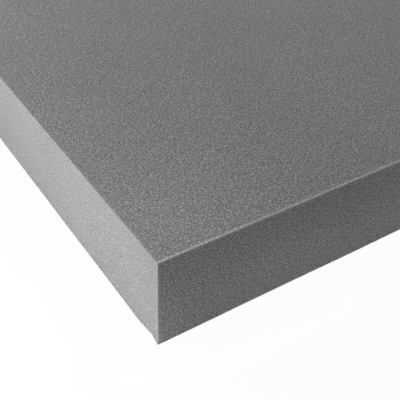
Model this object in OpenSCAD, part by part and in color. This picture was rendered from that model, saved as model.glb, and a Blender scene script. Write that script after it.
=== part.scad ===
// Flat acoustic foam panel: one slab of open-cell foam, knife cut on all six sides.
// The panel lies on its back, the face that is glued to a wall. The origin is at the
// centre of that face, Z points to the room, X runs along the length and Y along the width.

/* [Panel] */
// Length of the panel, along X
panel_length = 300; // [200:10:1200]
// Width of the panel, along Y
panel_width = 300; // [200:10:1200]
// Thickness of the foam, along Z
panel_thickness = 50; // [20:1:120]

/* [Cut edges] */
// Radius to which the soft foam rounds along every cut edge
edge_radius = 0.3; // [0.2:0.1:5]

/* [Corner chip] */
// Distance from the front left corner to the far end of the chip in the back edge
chip_length = 17; // [8:1:60]
// Distance from that corner to the deepest point of the chip
chip_peak = 5; // [2:0.5:7]
// Height of the chip on the left side, and its depth on the back, at that point
chip_height = 2.2; // [0.5:0.1:6]

/* [Hidden] */

foam_grey = [0.5, 0.5, 0.5];
panel_size = [panel_length, panel_width, panel_thickness];
chip_tilt = 45;
$fn = 48;

// The four rounded edges along Z of a block, given the half size of its unrounded core
module edge_rounds(core, radius) {
    for (x = [0, 1], y = [0, 1])
        mirror([x, 0, 0])
            mirror([0, y, 0])
                translate([core[0], core[1], -core[2]])
                    rotate_extrude(angle = 90)
                        square([radius, 2 * core[2]]);
}

// The eight corners of such a block, each an eighth of a ball
module corner_rounds(core, radius) {
    for (x = [0, 1], y = [0, 1], z = [0, 1])
        mirror([x, 0, 0])
            mirror([0, y, 0])
                mirror([0, 0, z])
                    translate(core)
                        rotate_extrude(angle = 90)
                            intersection() {
                                circle(r = radius);
                                square(radius);
                            }
}

// A block centred on the origin that is rounded along all its edges and at its corners
module rounded_block(size, radius) {
    core = size / 2 - radius * [1, 1, 1];
    to_x = [90, 0, 90];
    // One slab for each pair of flat faces
    for (axis = [0:2])
        cube([for (i = [0:2]) 2 * core[i] + (i == axis ? 2 * radius : 0)], center = true);
    // The edges along Z, X and Y
    edge_rounds(core, radius);
    rotate(to_x)
        edge_rounds([core[1], core[2], core[0]], radius);
    rotate(to_x)
        rotate(to_x)
            edge_rounds([core[2], core[0], core[1]], radius);
    corner_rounds(core, radius);
}

// The sliver that broke out of the lower left edge: it deepens slowly towards the front
// corner and ends steeply there, and its floor leans evenly between the side and the back
module corner_chip() {
    floor_depth = chip_height * cos(chip_tilt);
    translate([-panel_length / 2, -panel_width / 2, 0])
        rotate([0, chip_tilt, 0])
            rotate([90, 0, 90])
                linear_extrude(height = 2 * chip_height, center = true)
                    polygon([[0, 0], [chip_peak, floor_depth], [chip_length, 0]]);
}

// The foam slab, standing on its back face
module foam_panel() {
    color(foam_grey)
        difference() {
            translate([0, 0, panel_thickness / 2])
                rounded_block(panel_size, edge_radius);
            corner_chip();
        }
}

foam_panel();
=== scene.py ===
"""Grey acoustic foam panel on a white floor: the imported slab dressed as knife-cut open-cell foam."""

import math

import bpy
from mathutils import Matrix, Vector, noise
from mathutils.geometry import delaunay_2d_cdt


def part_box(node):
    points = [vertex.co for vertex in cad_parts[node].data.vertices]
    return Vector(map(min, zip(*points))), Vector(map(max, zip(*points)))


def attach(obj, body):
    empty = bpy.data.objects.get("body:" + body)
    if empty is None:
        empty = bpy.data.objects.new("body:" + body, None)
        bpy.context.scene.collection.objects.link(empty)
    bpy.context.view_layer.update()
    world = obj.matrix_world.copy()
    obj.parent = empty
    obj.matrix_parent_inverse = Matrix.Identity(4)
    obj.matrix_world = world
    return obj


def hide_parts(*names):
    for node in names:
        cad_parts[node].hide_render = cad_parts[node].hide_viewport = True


MM = 0.001
NODE = "foam_panel"

# The slab's cut edges, and the chip beside its near corner, with the way into the foam from the chip's floor
EDGE_RADIUS = 0.3 * MM
CHIP_LENGTH = 17 * MM
CHIP_PEAK = 5 * MM
CHIP_HEIGHT = 2.2 * MM
CHIP_INWARD = Vector((1, 0, 1)).normalized()

# How far apart the points of its skin lie, from the crumbly rims to the middle of a face
RIM_SPACING = 0.45 * MM
RIM_WIDTH = 1.6 * MM
FACE_SPACING = 5 * MM
SPACING_GROWTH = 1.35

# How near two points are when they count as one, on one face and between faces
SAME_ON_FACE = 0.01 * RIM_SPACING
SAME_ON_BOX = 0.1 * RIM_SPACING

# How far the cut surface strays from true: cut cells at the rims, a slow wander of the blade everywhere
CRUMBLE_DEPTH = 0.1 * MM
CRUMBLE_LENGTH = 0.8 * MM
WANDER_DEPTH = 0.15 * MM
WANDER_LENGTH = 70 * MM

# Foam cells: their size and slope, the mean of their random colours, and as parts of a cell where a strut
# turns into a pore and how deep that is
CELL_MM = 0.23
CELL_SLOPE = 0.3
MEAN_COLOUR = (0.5, 0.5, 0.5)
PORE_RAMP = (0.04, 0.3)
PORE_DEPTH = 0.05

# The grain's three parts: their contrasts as natural logarithms, the pores' part being painted shade in
# those hollows, and the usual pore and clump, which leave the foam's grey as it is
CELL_CONTRAST = 1.4
PORE_SHADE_CONTRAST = 0.9
CLUMP_CONTRAST = 2.0
USUAL_PORE = 0.37
USUAL_CLUMP = 0.5

# A whole number of clumps in the depth, which also fits the sides, so that the cut faces lie where the
# noise is most even
CLUMPS_IN_DEPTH = 60

# How rare the light cells are and how strong the grain is on faces across x, y and z, set by how the light
# falls on each face: the rare light cells across z are painted glints and the stronger grain is painted
# shade in the pores; and how much of it the rims lose
GRAIN_AND_GLINT_POWER = (1.5, 0.7, 4.0)
GRAIN_AND_PORE_SHADE_BY_FACE = (0.54, 0.87, 0.84)
RIM_CALM = 0.5

# Colours of the foam and of the painted highlight on its rims, and how much of that highlight shows on faces
# across x, y and z and beside edges along x, y and z
FOAM_GREY = (0.236, 0.236, 0.236)
RIM_HIGHLIGHT_GREY = (0.575, 0.57, 0.553)
RIM_HIGHLIGHT_BY_FACE = (0.32, 0.35, 0.9)
RIM_HIGHLIGHT_BY_EDGE = (1.0, 0.2, 0.8)

# How dull the foam is, and how light bleeds through it
ROUGHNESS = 0.9
SHINE = 0.2
BLEED = 0.4
BLEED_LENGTH = 1.5 * MM
BLEED_TINT = (1, 0.97, 0.88)

# Camera, fitted to the slab's straight edges in a square picture
PICTURE_PIXELS = 400
FOCAL_PIXELS = 746.9
SENSOR_MM = 36
CAMERA_FROM_CORNER = Vector((-107.4, -182.4, 257.7)) * MM
CAMERA_AZIMUTH = math.radians(-34.74)
CAMERA_ELEVATION = math.radians(39.54)
CAMERA_ROLL = math.radians(2.52)

# Soft lamps: place and aim in mm from the middle of the panel's underside, width and height in metres, watts
LAMPS = {
    "left": ((-310, 150, 80), (0, 150, 80), (0.6, 0.2), 1.1),
    "low_left": ((-230, -135, 15), (-150, -135, 20), (0.12, 0.03), 0.043),
    "left_edge": ((-138, -134, 105), (-138, -134, 0), (0.03, 0.06), 0.0062),
    "corner": ((-163, -172, 6), (-138, -150, 8), (0.04, 0.01), 0.0015),
    "low_front": ((30, -184, 10), (30, -150, 14), (0.3, 0.01), 0.0086),
    "front": ((420, -420, 1425), (0, 0, 50), (0.8, 0.8), 7.65),
    "rear": ((80, 550, 350), (80, 0, 50), (0.5, 0.2), 1.15),
}

# Colours of the light: white, apart from one lamp, and the level of the world's light
WHITE = (1, 1, 1)
LAMP_TINTS = {"low_front": (1.0, 0.975, 0.88)}
WORLD_LEVEL = 0.1

# The floor: its side in metres, its colour, and how much of what the camera sees of it is plain white
FLOOR_SIDE = 12.0
FLOOR_COLOUR = (0.8, 0.8, 0.775)
FLOOR_GLOW = 0.96


def smooth_step(low, high, value):
    """0 below low, 1 above high, and a smooth curve between."""
    t = min(1, max(0, (value - low) / (high - low)))
    return t * t * (3 - 2 * t)


def side_places(length, spacing):
    """Evenly spaced places along a side, measured from its middle, with both ends."""
    steps = max(1, round(length / spacing))
    return [length * (i / steps - 0.5) for i in range(steps + 1)]


def ring(width, height, spacing):
    """Points round a rectangle that is centred on the origin."""
    across = side_places(width, spacing)
    up = side_places(height, spacing)[1:-1]
    points = [Vector((u, side * height / 2)) for u in across for side in (-1, 1)]
    return points + [Vector((side * width / 2, v)) for v in up for side in (-1, 1)]


def face_triangles(width, height):
    """A flat rectangle as points and triangles, dense along its rims and sparse in the middle."""
    points = []
    inset = 0
    spacing = RIM_SPACING
    while min(width, height) - 2 * inset > spacing:
        points += ring(width - 2 * inset, height - 2 * inset, spacing)
        inset += spacing
        if inset > RIM_WIDTH:
            spacing = min(spacing * SPACING_GROWTH, FACE_SPACING)
    places, _, triangles, *_ = delaunay_2d_cdt(points, [], [], 0, SAME_ON_FACE)
    return places, triangles


def rounded(place, half):
    """Moves a place on a sharp box onto the same box with rounded edges, and gives the way out there."""
    core = Vector(max(EDGE_RADIUS - h, min(h - EDGE_RADIUS, c)) for c, h in zip(place, half))
    outward = (place - core).normalized()
    return core + outward * EDGE_RADIUS, outward


def chip_depth(along):
    """Depth of the chip at a distance from the corner, square to its floor."""
    rise = min(along / CHIP_PEAK, (CHIP_LENGTH - along) / (CHIP_LENGTH - CHIP_PEAK))
    return max(0, rise) * CHIP_HEIGHT * CHIP_INWARD.z


def chipped(place, corner):
    """Pushes a place out of the chip in the lower left edge, which starts at the corner."""
    from_corner = place - corner
    short = chip_depth(from_corner.y) - from_corner.dot(CHIP_INWARD)
    return place + CHIP_INWARD * max(0, short)


def cut_place(sharp, half, centre, low, rim):
    """Where the cut foam really lies for a place on the sharp box about the origin."""
    place, outward = rounded(sharp, half)
    place = chipped(place + centre, low)
    crumble = noise.noise(place / CRUMBLE_LENGTH) * CRUMBLE_DEPTH * rim
    wander = noise.noise(place / WANDER_LENGTH) * WANDER_DEPTH
    place += outward * (crumble + wander)
    place.z = max(low.z, place.z)
    return place


def rim_share(from_edge):
    """1 on an edge and 0 from a rim's width away."""
    return 1 - smooth_step(0, RIM_WIDTH, from_edge)


def panel_mesh(low, high):
    """The slab's skin as one closed mesh, with how near each point is to a rim and how much painted
    highlight that rim gets.
    """
    half = (high - low) / 2
    centre = (high + low) / 2
    index = {}
    places = []
    rims = []
    lights = []
    triangles = []
    for axis in range(3):
        u_axis = (axis + 1) % 3
        v_axis = (axis + 2) % 3
        flat_places, flat_triangles = face_triangles(2 * half[u_axis], 2 * half[v_axis])
        for side in (-1, 1):
            numbers = []
            for u, v in flat_places:
                sharp = Vector((0, 0, 0))
                sharp[axis] = side * half[axis]
                sharp[u_axis] = u
                sharp[v_axis] = v
                key = tuple(round(c / SAME_ON_BOX) for c in sharp)
                if key not in index:
                    index[key] = len(places)
                    along_u = rim_share(half[v_axis] - abs(v))
                    along_v = rim_share(half[u_axis] - abs(u))
                    rims.append(max(along_u, along_v))
                    # Painted highlight on the rims, stronger beside some edges than beside others
                    lights.append(max(along_u * RIM_HIGHLIGHT_BY_EDGE[u_axis], along_v * RIM_HIGHLIGHT_BY_EDGE[v_axis]))
                    places.append(cut_place(sharp, half, centre, low, rims[-1]))
                numbers.append(index[key])
            triangles += [[numbers[i] for i in t[::side]] for t in flat_triangles]
    mesh = bpy.data.meshes.new(NODE + "_skin")
    mesh.from_pydata(places, [], triangles)
    mesh.shade_smooth()
    mesh.attributes.new("rim", "FLOAT", "POINT").data.foreach_set("value", rims)
    mesh.attributes.new("painted_rim_highlight", "FLOAT", "POINT").data.foreach_set("value", lights)
    return mesh


class Nodes:
    """Short calls to lay out the nodes of a material or a world."""

    def __init__(self, tree):
        self.tree = tree

    def add(self, kind, settings=None, **inputs):
        """A node with its settings and inputs, where an input is a value or another node's output."""
        node = self.tree.nodes.new(kind)
        for name, value in (settings or {}).items():
            setattr(node, name, value)
        for name, value in inputs.items():
            self.feed(node.inputs[name.replace("_", " ")], value)
        return node

    def feed(self, socket, value):
        """Sets an input, or links it where the value is an output."""
        if isinstance(value, bpy.types.NodeSocket):
            self.tree.links.new(value, socket)
        else:
            socket.default_value = value

    def operate(self, kind, operation, values):
        """The outputs of a node that works out something from values, in the order of its inputs."""
        node = self.add(kind, {"operation": operation})
        for socket, value in zip(node.inputs, values):
            self.feed(socket, value)
        return node.outputs

    def math(self, operation, *values):
        """The output of a Math node."""
        return self.operate("ShaderNodeMath", operation, values)["Value"]

    def vector(self, operation, *values):
        """The vector that a Vector Math node gives."""
        return self.operate("ShaderNodeVectorMath", operation, values)["Vector"]

    def dot(self, *values):
        """The dot product of two vectors."""
        return self.operate("ShaderNodeVectorMath", "DOT_PRODUCT", values)["Value"]

    def scaled(self, vector, factor):
        """A vector times a number."""
        node = self.add("ShaderNodeVectorMath", {"operation": "SCALE"}, Scale=factor)
        self.feed(node.inputs[0], vector)
        return node.outputs["Vector"]

    def ramp(self, value, start, end, curve="LINEAR"):
        """The output of a Map Range node that takes the range start to the range end."""
        node = self.add("ShaderNodeMapRange", {"interpolation_type": curve}, Value=value)
        for name, number in zip(("From Min", "From Max", "To Min", "To Max"), (*start, *end)):
            node.inputs[name].default_value = number
        return node.outputs["Result"]

    def attribute(self, name):
        """A number that the mesh holds for each of its points."""
        return self.add("ShaderNodeAttribute", {"attribute_name": name}).outputs["Fac"]


def empty_nodes(owner):
    """Gives a material or a world an empty node tree, to lay out."""
    owner.use_nodes = True
    owner.node_tree.nodes.clear()
    return Nodes(owner.node_tree)


def cut_cells(nodes, place_mm, cell, pore):
    """The surface's direction, with each cell cut at its own slope and its pore a shallow dip."""
    slope = nodes.vector("SUBTRACT", cell["Color"], MEAN_COLOUR)
    from_middle = nodes.vector("SUBTRACT", place_mm, cell["Position"])
    facet = nodes.math("MULTIPLY", nodes.dot(slope, from_middle), CELL_SLOPE)
    height = nodes.math("SUBTRACT", facet, nodes.math("MULTIPLY", pore, PORE_DEPTH * CELL_MM))
    return nodes.add("ShaderNodeBump", Strength=1.0, Distance=MM, Height=height).outputs["Normal"]


def foam_grain(nodes, place_mm, cell, pore, facing, depth):
    """How many times lighter than its grey the foam is, from its cells, their pores and clumps of them; its
    strength by the way each face points stands for how the light falls there, as painted shade in the pores
    and painted glints.
    """
    luck = nodes.add("ShaderNodeSeparateColor", Color=cell["Color"]).outputs["Red"]
    # Painted glints: on faces across z the light cells are rare and bright
    power = nodes.dot(facing, GRAIN_AND_GLINT_POWER)
    usual_cell = nodes.math("DIVIDE", 1, nodes.math("ADD", power, 1))
    cell_part = nodes.math("SUBTRACT", nodes.math("POWER", luck, power), usual_cell)
    painted_pore_shade = nodes.math("SUBTRACT", USUAL_PORE, pore)
    clumps_per_mm = MM * CLUMPS_IN_DEPTH / depth
    clump = nodes.add("ShaderNodeTexNoise", Vector=place_mm, Scale=clumps_per_mm, Detail=0.0)
    clump_part = nodes.math("SUBTRACT", clump.outputs["Fac"], USUAL_CLUMP)
    # Painted shade: the pores darker than the struts
    grain = nodes.math("MULTIPLY", painted_pore_shade, PORE_SHADE_CONTRAST)
    grain = nodes.math("MULTIPLY_ADD", cell_part, CELL_CONTRAST, grain)
    grain = nodes.math("MULTIPLY_ADD", clump_part, CLUMP_CONTRAST, grain)
    calm = nodes.ramp(nodes.attribute("rim"), (0, 1), (1, 1 - RIM_CALM))
    # Painted shade and glints: the grain's strength by the way a face points
    grain_and_shade_strength = nodes.math("MULTIPLY", nodes.dot(facing, GRAIN_AND_PORE_SHADE_BY_FACE), calm)
    return nodes.math("EXPONENT", nodes.math("MULTIPLY", grain, grain_and_shade_strength))


def grey_with_rim_highlight(nodes, facing):
    """The foam's grey without its grain, with a painted highlight on the rims."""
    painted_highlight = Vector(RIM_HIGHLIGHT_GREY) - Vector(FOAM_GREY)
    # Painted highlight: the rims paler, by the way the face points
    share = nodes.math("MULTIPLY", nodes.attribute("painted_rim_highlight"), nodes.dot(facing, RIM_HIGHLIGHT_BY_FACE))
    return nodes.vector("ADD", FOAM_GREY, nodes.scaled(painted_highlight, share))


def foam_material(depth):
    """Open-cell foam: pores darkened with painted shade between light struts, each cell cut at its own
    slope.
    """
    material = bpy.data.materials.new("open_cell_foam")
    nodes = empty_nodes(material)
    coordinates = nodes.add("ShaderNodeTexCoord").outputs
    place_mm = nodes.scaled(coordinates["Object"], 1 / MM)
    facing = nodes.vector("MULTIPLY", coordinates["Normal"], coordinates["Normal"])

    cells = {"Vector": place_mm, "Scale": 1 / CELL_MM}
    cell = nodes.add("ShaderNodeTexVoronoi", **cells).outputs
    wall = nodes.add("ShaderNodeTexVoronoi", {"feature": "DISTANCE_TO_EDGE"}, **cells).outputs
    pore = nodes.ramp(wall["Distance"], PORE_RAMP, (0, 1), "SMOOTHSTEP")

    grain = foam_grain(nodes, place_mm, cell, pore, facing, depth)
    shader = nodes.add(
        "ShaderNodeBsdfPrincipled",
        Base_Color=nodes.scaled(grey_with_rim_highlight(nodes, facing), grain),
        Normal=cut_cells(nodes, place_mm, cell, pore),
        Roughness=ROUGHNESS,
        Specular_IOR_Level=SHINE,
        Subsurface_Weight=BLEED,
        Subsurface_Radius=BLEED_TINT,
        Subsurface_Scale=BLEED_LENGTH,
    )
    nodes.add("ShaderNodeOutputMaterial", Surface=shader.outputs["BSDF"])
    material.cycles.use_bump_map_correction = False
    return material


def seen_directly(nodes):
    """1 for rays from the camera, in mirrors and through glass, 0 for rays that carry light."""
    path = nodes.add("ShaderNodeLightPath").outputs
    seen = nodes.math("MAXIMUM", path["Is Camera Ray"], path["Is Glossy Ray"])
    return nodes.math("MAXIMUM", seen, path["Is Transmission Ray"])


def floor_material():
    """Pale floor that looks white, with a faint shadow."""
    material = bpy.data.materials.new("pale_floor")
    nodes = empty_nodes(material)
    diffuse = nodes.add("ShaderNodeBsdfDiffuse", Color=(*FLOOR_COLOUR, 1))
    glow = nodes.add("ShaderNodeEmission", Strength=1.0)
    share = nodes.math("MULTIPLY", seen_directly(nodes), FLOOR_GLOW)
    mix = nodes.add("ShaderNodeMixShader", Fac=share)
    nodes.feed(mix.inputs[1], diffuse.outputs["BSDF"])
    nodes.feed(mix.inputs[2], glow.outputs["Emission"])
    nodes.add("ShaderNodeOutputMaterial", Surface=mix.outputs["Shader"])
    return material


def add_object(name, data):
    """Links a new object to the scene."""
    obj = bpy.data.objects.new(name, data)
    bpy.context.scene.collection.objects.link(obj)
    return obj


def add_panel():
    """The foam panel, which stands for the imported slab."""
    low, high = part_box(NODE)
    panel = add_object("cut_foam", panel_mesh(low, high))
    panel.data.materials.append(foam_material(high.z - low.z))
    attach(panel, "root")
    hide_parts(NODE)


def add_floor():
    """A wide pale floor under the panel."""
    side = FLOOR_SIDE / 2
    mesh = bpy.data.meshes.new("floor")
    corners = [(-side, -side, 0), (side, -side, 0), (side, side, 0), (-side, side, 0)]
    mesh.from_pydata(corners, [], [range(4)])
    mesh.materials.append(floor_material())
    add_object("floor", mesh)


def add_world():
    """A world that lights the panel dimly and looks white."""
    world = bpy.data.worlds.new("white_world")
    nodes = empty_nodes(world)
    level = nodes.ramp(seen_directly(nodes), (0, 1), (WORLD_LEVEL, 1))
    background = nodes.add("ShaderNodeBackground", Color=(*WHITE, 1), Strength=level)
    nodes.add("ShaderNodeOutputWorld", Surface=background.outputs["Background"])
    bpy.context.scene.world = world


def add_lamps():
    """The soft lamps, which the camera doesn't see."""
    low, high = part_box(NODE)
    floor_middle = Vector(((low.x + high.x) / 2, (low.y + high.y) / 2, low.z))
    for name, (place, aim, size, power) in LAMPS.items():
        light = bpy.data.lights.new(name, "AREA")
        light.shape = "RECTANGLE"
        light.size, light.size_y = size
        light.energy = power
        light.color = LAMP_TINTS.get(name, WHITE)
        lamp = add_object(name, light)
        lamp.location = floor_middle + Vector(place) * MM
        lamp.rotation_euler = (Vector(place) - Vector(aim)).to_track_quat("Z", "Y").to_euler()
        lamp.visible_camera = False


def add_camera():
    """The camera at the photograph's place and angle."""
    data = bpy.data.cameras.new("camera")
    data.sensor_width = SENSOR_MM
    data.lens = FOCAL_PIXELS * SENSOR_MM / PICTURE_PIXELS
    data.clip_start = MM
    camera = add_object("camera", data)
    turn = Matrix.Rotation(CAMERA_AZIMUTH, 4, "Z")
    tilt = Matrix.Rotation(math.pi / 2 - CAMERA_ELEVATION, 4, "X")
    roll = Matrix.Rotation(CAMERA_ROLL, 4, "Z")
    low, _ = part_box(NODE)
    camera.matrix_world = Matrix.Translation(low + CAMERA_FROM_CORNER) @ turn @ tilt @ roll
    bpy.context.scene.camera = camera


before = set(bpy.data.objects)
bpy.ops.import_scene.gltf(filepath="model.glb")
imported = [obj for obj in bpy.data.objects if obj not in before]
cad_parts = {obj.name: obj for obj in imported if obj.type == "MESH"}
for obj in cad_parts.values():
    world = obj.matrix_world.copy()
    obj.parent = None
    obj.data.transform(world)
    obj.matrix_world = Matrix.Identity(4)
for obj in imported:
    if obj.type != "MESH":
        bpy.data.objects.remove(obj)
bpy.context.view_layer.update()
bpy.context.scene.view_settings.view_transform = "Standard"
bpy.context.scene.cycles.denoising_prefilter = "NONE"  # keeps the foam's fine grain
add_camera()
add_floor()
add_world()
add_lamps()
add_panel()
